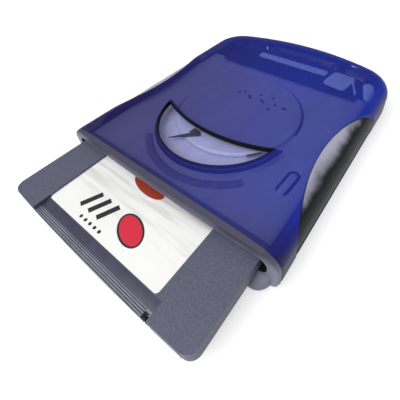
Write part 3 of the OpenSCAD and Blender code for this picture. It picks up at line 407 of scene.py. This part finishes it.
finger_place = (finger_x - finger_aside, finger_y - finger_ahead, flat_top + mark_t / 2)
finger = capsule("spring_finger", finger_place, finger_l, finger_w, finger_turn, mark_t)
finger.data.materials.append(shield_steel)
finish(finger, "drive", "sheet_steel")
dot_l, dot_w = 1.5 * mm, 1.4 * mm
dots = ((-1.3, 16.6), (6.6, 17.1), (17.8, 18.1), (2.5, 21.5), (12.0, 13.5), (9.5, 22.5),
        (-6.5, 20.0))
for number, (x, y) in enumerate(dots, 1):
    dot = capsule(f"shield_dot_{number}", (x * mm, y * mm, shield_top), dot_l, dot_w, 0, mark_t)
    dot.data.materials.append(painted_slot_shade)
    finish(dot, "drive", "sheet_steel")


# Shade ring and pads. A dark ring of painted shade lies round the raised round, a foam arc fills
# the gap before the window, and a black sheet covers the head motor. Pale pads are moulded under
# the roof over it.
def open_ring(name, centre, radius, thickness, flat, keep):
    """A round bar bent to an arc, its ends closed and its section flattened. The arc is kept
    between two angles in degrees from +X."""
    bpy.ops.mesh.primitive_torus_add(major_radius=radius, minor_radius=thickness / 2,
                                     major_segments=120, minor_segments=10, location=(0, 0, 0))
    ring = just_added(name)

    def cut_off(face):
        turn = math.degrees(math.atan2(face.center.y, face.center.x)) % 360
        return not keep[0] < turn < keep[1]

    pick(ring, "FACE", cut_off)
    bpy.ops.mesh.delete(type="FACE")
    bpy.ops.mesh.select_all(action="SELECT")
    bpy.ops.mesh.fill_holes(sides=0)
    bpy.ops.object.mode_set(mode="OBJECT")
    ring.scale.z = flat
    ring.location = centre
    bpy.ops.object.transform_apply(location=True, rotation=True, scale=True)
    bpy.ops.object.shade_smooth_by_angle(angle=math.radians(50))
    return ring


foam_look = dict(patch=400, grain=1500, depth=0.06 * mm, Specular_IOR_Level=0.2)
# Black foam for the sheet over the head motor, and painted shade for the ring round the raised
# round.
foam_and_shade_black = moulded("foam and shade black", (0.012, 0.012, 0.020), (0.006, 0.006, 0.010), (0.8, 0.95),
                     **foam_look)
foam_grey = moulded("foam grey", (0.17, 0.18, 0.34), (0.13, 0.14, 0.28), (0.8, 0.95), **foam_look)
# Painted shade: the dark ring round the raised round stands for the shade line at its edge.
shade_ring_t, shade_ring_flat, shade_ring_gap, shade_ring_lift = 0.8 * mm, 0.7, 0.3 * mm, 0.1 * mm
shade_ring_place, shade_ring_r = (dome_x, dome_y, flat_top + shade_ring_lift), dome_r + shade_ring_gap
for side, keep in (("left", (90, 213)), ("right", (-1, 90))):
    shade_ring = open_ring(f"dome_shade_ring_{side}", shade_ring_place, shade_ring_r, shade_ring_t, shade_ring_flat, keep)
    shade_ring.data.materials.append(foam_and_shade_black)
    finish(shade_ring, "drive", "black_plastic")
front_arc_y, front_arc_r = -5.2 * mm, 31.7 * mm
foam_gap, foam_lift, foam_w, foam_flat = 4.8 * mm, 0.4 * mm, 3.4 * mm, 0.25
foam_place = (0, front_arc_y, flat_top + foam_lift)
foam = open_ring("window_foam", foam_place, front_arc_r + foam_gap, foam_w, foam_flat,
                 keep=(226, 318))
foam.data.materials.append(foam_grey)
finish(foam, "drive", "black_plastic")

sheet_left, sheet_right, sheet_front, sheet_rear = -40 * mm, 44.5 * mm, 43 * mm, 66 * mm
sheet_z, sheet_t, sheet_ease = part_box("actuator_yoke")[1].z, 0.3 * mm, 0.08 * mm
sheet_bow_y, sheet_bow_r = -52.5 * mm, 121.5 * mm
bpy.ops.mesh.primitive_plane_add(size=1)
sheet = just_added("actuator_sheet")
for corner in sheet.data.vertices:
    corner.co = (sheet_left if corner.co.x < 0 else sheet_right,
                 sheet_front if corner.co.y < 0 else sheet_rear, sheet_z)
bpy.ops.object.mode_set(mode="EDIT")
bpy.ops.mesh.select_all(action="SELECT")
bpy.ops.mesh.subdivide(number_cuts=15)
bpy.ops.object.mode_set(mode="OBJECT")
for corner in sheet.data.vertices:
    rear = sheet_bow_y + math.sqrt(sheet_bow_r ** 2 - corner.co.x ** 2)
    share = (corner.co.y - sheet_front) / (sheet_rear - sheet_front)
    corner.co.y = sheet_front + share * (rear - sheet_front)
thick = sheet.modifiers.new("thickness", "SOLIDIFY")
thick.thickness = sheet_t
thick.offset = 1
take_up(sheet)
bpy.ops.object.modifier_apply(modifier=thick.name)
ease_edges(sheet, sheet_ease)
sheet.data.materials.append(foam_and_shade_black)
finish(sheet, "drive", "black_plastic")

pad_pale = moulded("pad pale", (0.46, 0.58, 1.0), (0.38, 0.50, 0.92), (0.5, 0.65), patch=200)
pad_z, pad_t = 17.9 * mm, 1.0 * mm
# Each pad's name and middle, its length and width, its turn in degrees and its corners' radius.
pads = (("cable_bar", (1.2, 57.0), 44.6, 5.0, 90, 1.6),
        ("socket_pad", (31.8, 53.8), 14.4, 12.8, -8, 2.6),
        ("rib_pad", (40.7, 51.5), 12.0, 1.1, 25, 0.5),
        ("post_pad", (48.4, 51.4), 15.5, 5.4, 20, 2.7))
for name, (x, y), length, width, turn, corner in pads:
    pad = capsule(name, (x * mm, y * mm, pad_z), length * mm, width * mm, math.radians(turn), pad_t,
                  corner * mm)
    pad.data.materials.append(pad_pale)
    finish(pad, "drive", "shell_plastic")

# Cartridge. Two halves of grained slate plastic with raised side bands, welded round their edge.
# The front slopes down in a smooth band to four fine ribs for the finger, and has a notch for
# the catch. The upright front is painted lighter as painted light, the band darker as painted
# shade, and the rib tops lighter as painted highlights.
cartridge_slate = moulded("cartridge slate", (0.100, 0.103, 0.155), (0.064, 0.067, 0.112),
                          (0.42, 0.60), patch=1500, depth=0.08 * mm)
# Painted light: the upright front faces get a much lighter slate, for the light falling on them
# from the front.
lit_front_slate = moulded("lit front slate", (0.26, 0.26, 0.31), (0.17, 0.17, 0.21), (0.38, 0.56),
                      patch=420, grain=2200, depth=0.06 * mm)
# Painted shade: a darker slate for the sloping band before the ribs; its smoother gloss is the real
# finish.
shaded_band_slate = moulded("band slate shade", (0.042, 0.044, 0.078), (0.030, 0.032, 0.058), (0.30, 0.42),
                     patch=200)
# Painted highlight: a lighter slate for the tops of the ribs.
rib_highlight_slate = moulded("rib slate highlight", (0.24, 0.24, 0.30), (0.17, 0.17, 0.22), (0.30, 0.42), patch=200)
disk_low, disk_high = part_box("cartridge_top_case")
disk_ease = 0.15 * mm
middle_half = 32.6 * mm
band_back, ribs_back = disk_low.y + 6.6 * mm, disk_low.y + 3.0 * mm
ribs_above, rib_lean = disk_high.z - 1.92 * mm, 0.4


def faces_front(face):
    """Says whether a face is on the cartridge's upright front."""
    upright, front_skin = 0.75, 0.2 * mm
    return -face.normal.y > upright and face.center.y < disk_low.y + front_skin


disk_top = copy_of("cartridge_top_case", "disk_top_case")
ease_edges(disk_top, disk_ease)
for slate in (cartridge_slate, lit_front_slate, shaded_band_slate, rib_highlight_slate):
    disk_top.data.materials.append(slate)
# The upright front takes the painted light, the rib tops the painted highlight, the rest of the
# band the painted shade.
for face in disk_top.data.polygons:
    middle = face.center
    in_band = abs(middle.x) < middle_half and middle.y < band_back
    if faces_front(face):
        face.material_index = 1
    elif in_band and middle.y < ribs_back and middle.z > ribs_above and face.normal.z > rib_lean:
        face.material_index = 3
    elif in_band:
        face.material_index = 2
finish(disk_top, "cartridge", "cartridge_plastic", "cartridge_top_case")
disk_bottom = copy_of("cartridge_bottom_case", "disk_bottom_case")
ease_edges(disk_bottom, disk_ease)
for slate in (cartridge_slate, lit_front_slate):
    disk_bottom.data.materials.append(slate)
# Its upright front takes the painted light too.
for face in disk_bottom.data.polygons:
    face.material_index = 1 if faces_front(face) else 0
finish(disk_bottom, "cartridge", "cartridge_plastic", "cartridge_bottom_case")
# Painted shade: a near-black plate fills the catch notch, where the recess falls into shade.
notch_shade_place = (31.1 * mm, -82.2 * mm, 8.6 * mm)
notch_shade_l, notch_shade_w, notch_shade_t, notch_shade_turn = 2.86 * mm, 1.9 * mm, 1.4 * mm, math.radians(90)
notch_shade = capsule("notch_shade_plate", notch_shade_place, notch_shade_l, notch_shade_w, notch_shade_turn, notch_shade_t)
notch_shade.data.materials.append(painted_slot_shade)
finish(notch_shade, "cartridge", "black_plastic")

# Label. A sheet of coated paper in the cartridge's middle, printed with pale grey streaks, three
# slanted bars beside an outlined oval, a row of dots and a warm patch at the slot's edge.
label_paper = moulded("label paper", (0.84, 0.84, 0.83), (0.80, 0.80, 0.79), (0.28, 0.40), patch=40)
label_tree = label_paper.node_tree
label_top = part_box("cartridge_label")[1].z


def form_mask(tree, middle, half, turn=0.0, rounded=True):
    """A mask that is 1 inside an oval, or a box where it isn't rounded, of these half sizes."""
    place = add_step(tree, "ShaderNodeTexCoord").outputs["Object"]
    form = add_step(tree, "ShaderNodeMapping", place, vector_type="TEXTURE", Rotation=(0, 0, turn),
                    Location=(*middle, label_top), Scale=(*half, 1)).outputs["Vector"]
    if rounded:
        reach = add_step(tree, "ShaderNodeVectorMath", form, operation="LENGTH").outputs["Value"]
    else:
        sides = add_step(tree, "ShaderNodeVectorMath", form, operation="ABSOLUTE").outputs["Vector"]
        axes = add_step(tree, "ShaderNodeSeparateXYZ", sides).outputs
        reach = add_step(tree, "ShaderNodeMath", axes["X"], axes["Y"],
                         operation="MAXIMUM").outputs[0]
    return add_step(tree, "ShaderNodeMath", reach, 1, operation="LESS_THAN").outputs[0]


def printed(middle, half, ink, turn=0.0, rounded=True):
    """Prints one form, given in mm, on the label, over what it carries so far."""
    middle, half = [[size * mm for size in pair] for pair in (middle, half)]
    colour_over(label_paper, form_mask(label_tree, middle, half, turn, rounded), ink)


streak_grey, streak_turn, streak_scale = (0.50, 0.50, 0.49), math.radians(-14), (28, 330, 1)
streaks_faint_y, streaks_full_y = -70 * mm, -52 * mm
place = add_step(label_tree, "ShaderNodeTexCoord").outputs["Object"]
sweep = add_step(label_tree, "ShaderNodeMapping", place, Rotation=(0, 0, streak_turn),
                 Scale=streak_scale)
streaks = add_step(label_tree, "ShaderNodeTexNoise", Vector=sweep.outputs["Vector"], Scale=1,
                   Detail=3)
bands = add_step(label_tree, "ShaderNodeMapRange", streaks.outputs[0], From_Min=0.46, From_Max=0.66)
forward = add_step(label_tree, "ShaderNodeSeparateXYZ", place).outputs["Y"]
nearer = add_step(label_tree, "ShaderNodeMapRange", forward, From_Min=streaks_faint_y,
                  From_Max=streaks_full_y, To_Min=0.03)
faint = add_step(label_tree, "ShaderNodeMath", bands.outputs["Result"], nearer.outputs["Result"],
                 operation="MULTIPLY")
colour_over(label_paper, faint.outputs[0], streak_grey)
ink_black, ink_red, ink_rust = (0.012, 0.012, 0.014), (0.60, 0.012, 0.040), (0.30, 0.035, 0.014)
slant, patch_turn = math.radians(-24), math.radians(-6)
patch_middle, patch_half = (-3.5, -50.6), (9.0, 3.6)
bars_y, bar_half = -67.6, (1.15, 4.3)
oval_middle, oval_half, oval_inner = (5.8, -67.4), (7.4, 4.6), (6.6, 3.8)
dots_y, dot_half = -74.3, (0.7, 0.7)
printed(patch_middle, patch_half, ink_rust, patch_turn)
for x in (-17.5, -12.3, -7.1):
    printed((x, bars_y), bar_half, ink_black, slant, rounded=False)
printed(oval_middle, oval_half, ink_black, slant)
printed(oval_middle, oval_inner, ink_red, slant)
for x in (-14.2, -11.4, -8.6, -5.8, -3.0):
    printed((x, dots_y), dot_half, ink_black)
mark_paper = moulded("mark paper", (0.80, 0.80, 0.79), (0.72, 0.72, 0.71), (0.3, 0.42), patch=200)
dress(label_paper, "cartridge_label")
dress(mark_paper, "cartridge_mark")

# Disc. A flexible coated film, welded to a pressed steel hub that the motor's magnet grips. It
# turns free in the cartridge, and a sliding steel shutter covers the opening for the heads.
media_film = moulded("media film", (0.045, 0.032, 0.026), (0.026, 0.019, 0.016), (0.12, 0.2),
                     patch=60)
dress(media_film, "media_disc")
dress(bright_steel, "shutter", "media_hub")


# Front bezel. The purple-grey rim round the slot, with a lip below it, clipped to both halves. The
# eject button and the green window of the light stand in the lip.
def shade_by_height(material, other, other_at, own_at):
    """Painted shade that passes hazily with height: its own colour at own_at and a darker one at
    other_at.
    """
    haze_depth = 3 * mm
    tree = material.node_tree
    place = add_step(tree, "ShaderNodeTexCoord").outputs["Object"]
    height = add_step(tree, "ShaderNodeSeparateXYZ", place).outputs["Z"]
    haze_noise = add_step(tree, "ShaderNodeTexNoise", Vector=place, Scale=140).outputs[0]
    haze = add_step(tree, "ShaderNodeMath", haze_noise, haze_depth, height, operation="MULTIPLY_ADD")
    share = add_step(tree, "ShaderNodeMapRange", haze.outputs[0], interpolation_type="SMOOTHSTEP",
                     From_Min=other_at, From_Max=own_at)
    colour_over(material, share.outputs["Result"], other, where=0)


bezel_lilac = moulded("bezel lilac", (0.22, 0.215, 0.29), (0.18, 0.175, 0.245), (0.40, 0.55),
                      patch=60, Specular_IOR_Level=0.3)
# Painted shade: the rim darkens towards its top, from 14 mm up to 20.9 mm.
rim_painted_shade, rim_shade_at, lilac_at, bezel_ease = (0.050, 0.050, 0.085), 20.9 * mm, 14 * mm, 0.2 * mm
shade_by_height(bezel_lilac, rim_painted_shade, rim_shade_at, lilac_at)
bezel = copy_of("front_bezel", "front_rim")
ease_edges(bezel, bezel_ease)
bezel.data.materials.append(bezel_lilac)
bezel.data.materials.append(painted_slot_shade)
slot_half, slot_low, slot_middle, slot_high = 51.6 * mm, 6.6 * mm, 10.9 * mm, 15.3 * mm
rim_front = -55.0 * mm
# Painted shade: the walls inside the slot take the near-black slot finish.
for face in bezel.data.polygons:
    middle = face.center
    in_slot = abs(middle.x) < slot_half and slot_low < middle.z < slot_high
    towards = Vector((-middle.x, 0, slot_middle - middle.z))
    if in_slot and middle.y > rim_front and face.normal.dot(towards) > 0:
        face.material_index = 1
finish(bezel, "drive", "bezel_plastic", "front_bezel")
button_blue = moulded("button blue", (0.050, 0.055, 0.26), (0.036, 0.040, 0.20), (0.2, 0.3),
                      patch=200)
pipe_green = moulded("light pipe green", (0.30, 0.55, 0.30), (0.22, 0.45, 0.22), (0.1, 0.2),
                     patch=200)
dress(button_blue, "eject_button")
dress(pipe_green, "light_pipe")

# Case top. Deep blue plastic, clear enough in the flat of the roof that the steel and boards under
# it show faintly. The curved edge is thicker to look through, so it hides what is behind.
shell_clear = moulded("clear shell blue", blue_pale, blue_deep, (0.38, 0.50),
                      Specular_IOR_Level=0.22, **case_look)
# Painted shade: the top darkens to indigo at its left front, to violet at its right front corner,
# and to navy down its curved edge below 18.6 mm.
shaded_indigo, edge_shade_navy = (0.014, 0.008, 0.115), (0.006, 0.006, 0.050)
corner_shade_violet = (0.010, 0.006, 0.060)
shaded_indigo_end, blue_end = (-48 * mm, -42 * mm, 0), (40 * mm, 28 * mm, 0)
corner_shade_end, corner_in = (60 * mm, -56 * mm, 0), (40 * mm, -32 * mm, 0)
edge_low, roof_edge, roof_top = 8 * mm, 18.6 * mm, 20.4 * mm
edge_density, roof_density = 0.97, 0.56
paint_shade_across(shell_clear, shaded_indigo, shaded_indigo_end, blue_end)
paint_shade_across(shell_clear, corner_shade_violet, corner_shade_end, corner_in)
paint_shade_across(shell_clear, edge_shade_navy, (0, 0, edge_low), (0, 0, roof_edge))
tree = shell_clear.node_tree
place = add_step(tree, "ShaderNodeTexCoord").outputs["Object"]
height = add_step(tree, "ShaderNodeSeparateXYZ", place).outputs["Z"]
density = add_step(tree, "ShaderNodeMapRange", height, interpolation_type="SMOOTHSTEP",
                   From_Min=roof_edge, From_Max=roof_top, To_Min=edge_density, To_Max=roof_density)
tree.links.new(density.outputs["Result"], tree.nodes["Principled BSDF"].inputs["Alpha"])
shell_inside = moulded("shell inside", blue_pale, blue_deep, (0.3, 0.4), Alpha=0.10, **case_look)
cover = copy_of("top_shell", "case_top")
ease_edges(cover, case_ease)
cover.data.materials.append(shell_clear)
cover.data.materials.append(shell_inside)
low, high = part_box("top_shell")
heart = Vector(((low.x + high.x) / 2, (low.y + high.y) / 2, low.z))
roof_low = 16 * mm
for face in cover.data.polygons:
    inward = face.normal.dot(face.center - heart) < 0
    face.material_index = 1 if inward and face.center.z > roof_low else 0
finish(cover, "drive", "shell_plastic", "top_shell")

# Window. A clear crescent let into the top between two arcs, bedded in a black gasket. Its flange
# is glued under the roof, so it is dark there, and its bare part is all but clear.
clear = moulded("window clear", (0.36, 0.37, 0.62), (0.28, 0.29, 0.52), (0.10, 0.18), patch=30,
                grain=900, depth=0.003 * mm, Specular_IOR_Level=0.3)
glue_black, glued_veil, bare_veil = (0.006, 0.006, 0.012), 1.0, 0.05
tree = clear.node_tree
rear_arc_y, rear_arc_r = 57.5 * mm, 75 * mm
lens_ease, gasket_ease, seal_skin = 0.15 * mm, 0.12 * mm, 0.05 * mm
in_front_arc = form_mask(tree, (0, front_arc_y), (front_arc_r, front_arc_r))
in_rear_arc = form_mask(tree, (0, rear_arc_y), (rear_arc_r, rear_arc_r))
bare = add_step(tree, "ShaderNodeMath", in_front_arc, in_rear_arc,
                operation="GREATER_THAN").outputs[0]
colour_over(clear, bare, glue_black, where=0)
veil = add_step(tree, "ShaderNodeMapRange", bare, To_Min=glued_veil, To_Max=bare_veil)
tree.links.new(veil.outputs["Result"], tree.nodes["Principled BSDF"].inputs["Alpha"])
lens = copy_of("window_lens", "window_pane")
ease_edges(lens, lens_ease)
lens.data.materials.append(clear)
finish(lens, "drive", "clear_plastic", "window_lens")
gasket_black = moulded("gasket black", (0.006, 0.006, 0.008), (0.003, 0.003, 0.004), (0.6, 0.8),
                       patch=200, Specular_IOR_Level=0.15)
gasket = copy_of("window_gasket", "window_seal")
seal_top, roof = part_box("window_gasket")[1].z, high.z
pick(gasket, "FACE", lambda face: face.normal.z > 0.9 and face.center.z > seal_top - seal_skin)
bpy.ops.mesh.extrude_region_move(TRANSFORM_OT_translate={"value": (0, 0, roof - seal_top)})
bpy.ops.object.mode_set(mode="OBJECT")
ease_edges(gasket, gasket_ease)
gasket.data.materials.append(gasket_black)
finish(gasket, "drive", "black_plastic", "window_gasket")

# Grips. Satin silver panels moulded apart from the case and clipped in its waist. Painted shade
# darkens them to black down their outer side, and a fine black line runs round them.
grip_silver = moulded("grip silver", (0.42, 0.41, 0.50), (0.34, 0.33, 0.42), (0.40, 0.55), patch=80,
                      Specular_IOR_Level=0.2)
# Painted shade: black below 17.9 mm, fading to silver by 21.4 mm.
grip_painted_shade, grip_shade_at, silver_at, grip_edge = (0.004, 0.005, 0.008), 17.9 * mm, 21.4 * mm, 0.6 * mm
shade_by_height(grip_silver, grip_painted_shade, grip_shade_at, silver_at)
for side in ("left", "right"):
    grip = copy_of(f"{side}_grip", f"{side}_side_grip")
    grip.data.materials.append(grip_silver)
    grip.data.materials.append(gasket_black)
    ease_edges(grip, grip_edge, material=1)
    finish(grip, "drive", "grip_plastic", f"{side}_grip")

# Table and studio. A plain white surface, clear from below, that glows for the camera and for
# polished pieces, a sky that is brighter above and white to the camera, and two soft lamps.
bpy.ops.mesh.primitive_plane_add(size=6)
table = just_added("table")
near_light, far_light, near_reach, far_reach = 0.56, 1.0, 0.25, 1.2
white = (1, 1, 1, 1)
paper, tree, surface, place = new_finish("table white", Base_Color=(0.55, 0.55, 0.55, 1),
                                         Roughness=0.9)
rays = add_step(tree, "ShaderNodeLightPath").outputs
seen = add_step(tree, "ShaderNodeMath", rays["Is Camera Ray"], rays["Is Glossy Ray"],
                operation="MAXIMUM")
away = add_step(tree, "ShaderNodeVectorMath", place, operation="LENGTH").outputs["Value"]
own_light = add_step(tree, "ShaderNodeMapRange", away, From_Min=near_reach, From_Max=far_reach,
                     To_Min=near_light, To_Max=far_light)
share = add_step(tree, "ShaderNodeMath", seen.outputs[0], own_light.outputs["Result"],
                 operation="MULTIPLY")
glow = add_step(tree, "ShaderNodeEmission", Color=white, Strength=share.outputs[0])
both = add_step(tree, "ShaderNodeAddShader", surface.outputs[0], glow.outputs[0])
from_below = add_step(tree, "ShaderNodeNewGeometry").outputs["Backfacing"]
unseen = add_step(tree, "ShaderNodeBsdfTransparent").outputs[0]
open_below = add_step(tree, "ShaderNodeMixShader", from_below, both.outputs[0], unseen)
tree.links.new(open_below.outputs[0], tree.nodes["Material Output"].inputs["Surface"])
table.data.materials.append(paper)

world = bpy.data.worlds.new("studio")
bpy.context.scene.world = world
world.use_nodes = True
tree = world.node_tree
place = add_step(tree, "ShaderNodeTexCoord").outputs["Generated"]
height = add_step(tree, "ShaderNodeSeparateXYZ", place).outputs["Z"]
lift = add_step(tree, "ShaderNodeMapRange", height, interpolation_type="SMOOTHSTEP", From_Min=0.15,
                From_Max=0.95, To_Min=0.16, To_Max=0.72)
studio = tree.nodes["Background"]
studio.inputs["Color"].default_value = white
tree.links.new(lift.outputs["Result"], studio.inputs["Strength"])
backdrop = add_step(tree, "ShaderNodeBackground", Color=white)
seen = add_step(tree, "ShaderNodeLightPath").outputs["Is Camera Ray"]
either = add_step(tree, "ShaderNodeMixShader", seen, studio.outputs[0], backdrop.outputs[0])
tree.links.new(either.outputs[0], tree.nodes["World Output"].inputs["Surface"])


def softbox(name, place, aim, size, watts):
    """A square lamp at a place, turned to what it lights."""
    lamp = bpy.data.lights.new(name, "AREA")
    lamp.shape = "SQUARE"
    lamp.size = size
    lamp.energy = watts
    thing = bpy.data.objects.new(name, lamp)
    thing.location = place
    thing.rotation_euler = (Vector(aim) - Vector(place)).to_track_quat("-Z", "Y").to_euler()
    bpy.context.scene.collection.objects.link(thing)


softbox("key lamp", place=(-0.10, -0.50, 0.75), aim=(0, 0, 0), size=0.6, watts=5.5)
softbox("front lamp", place=(-0.08, -0.65, 0.20), aim=(0, -0.05, 0), size=0.4, watts=1.2)

bpy.context.scene.view_settings.view_transform = "Standard"
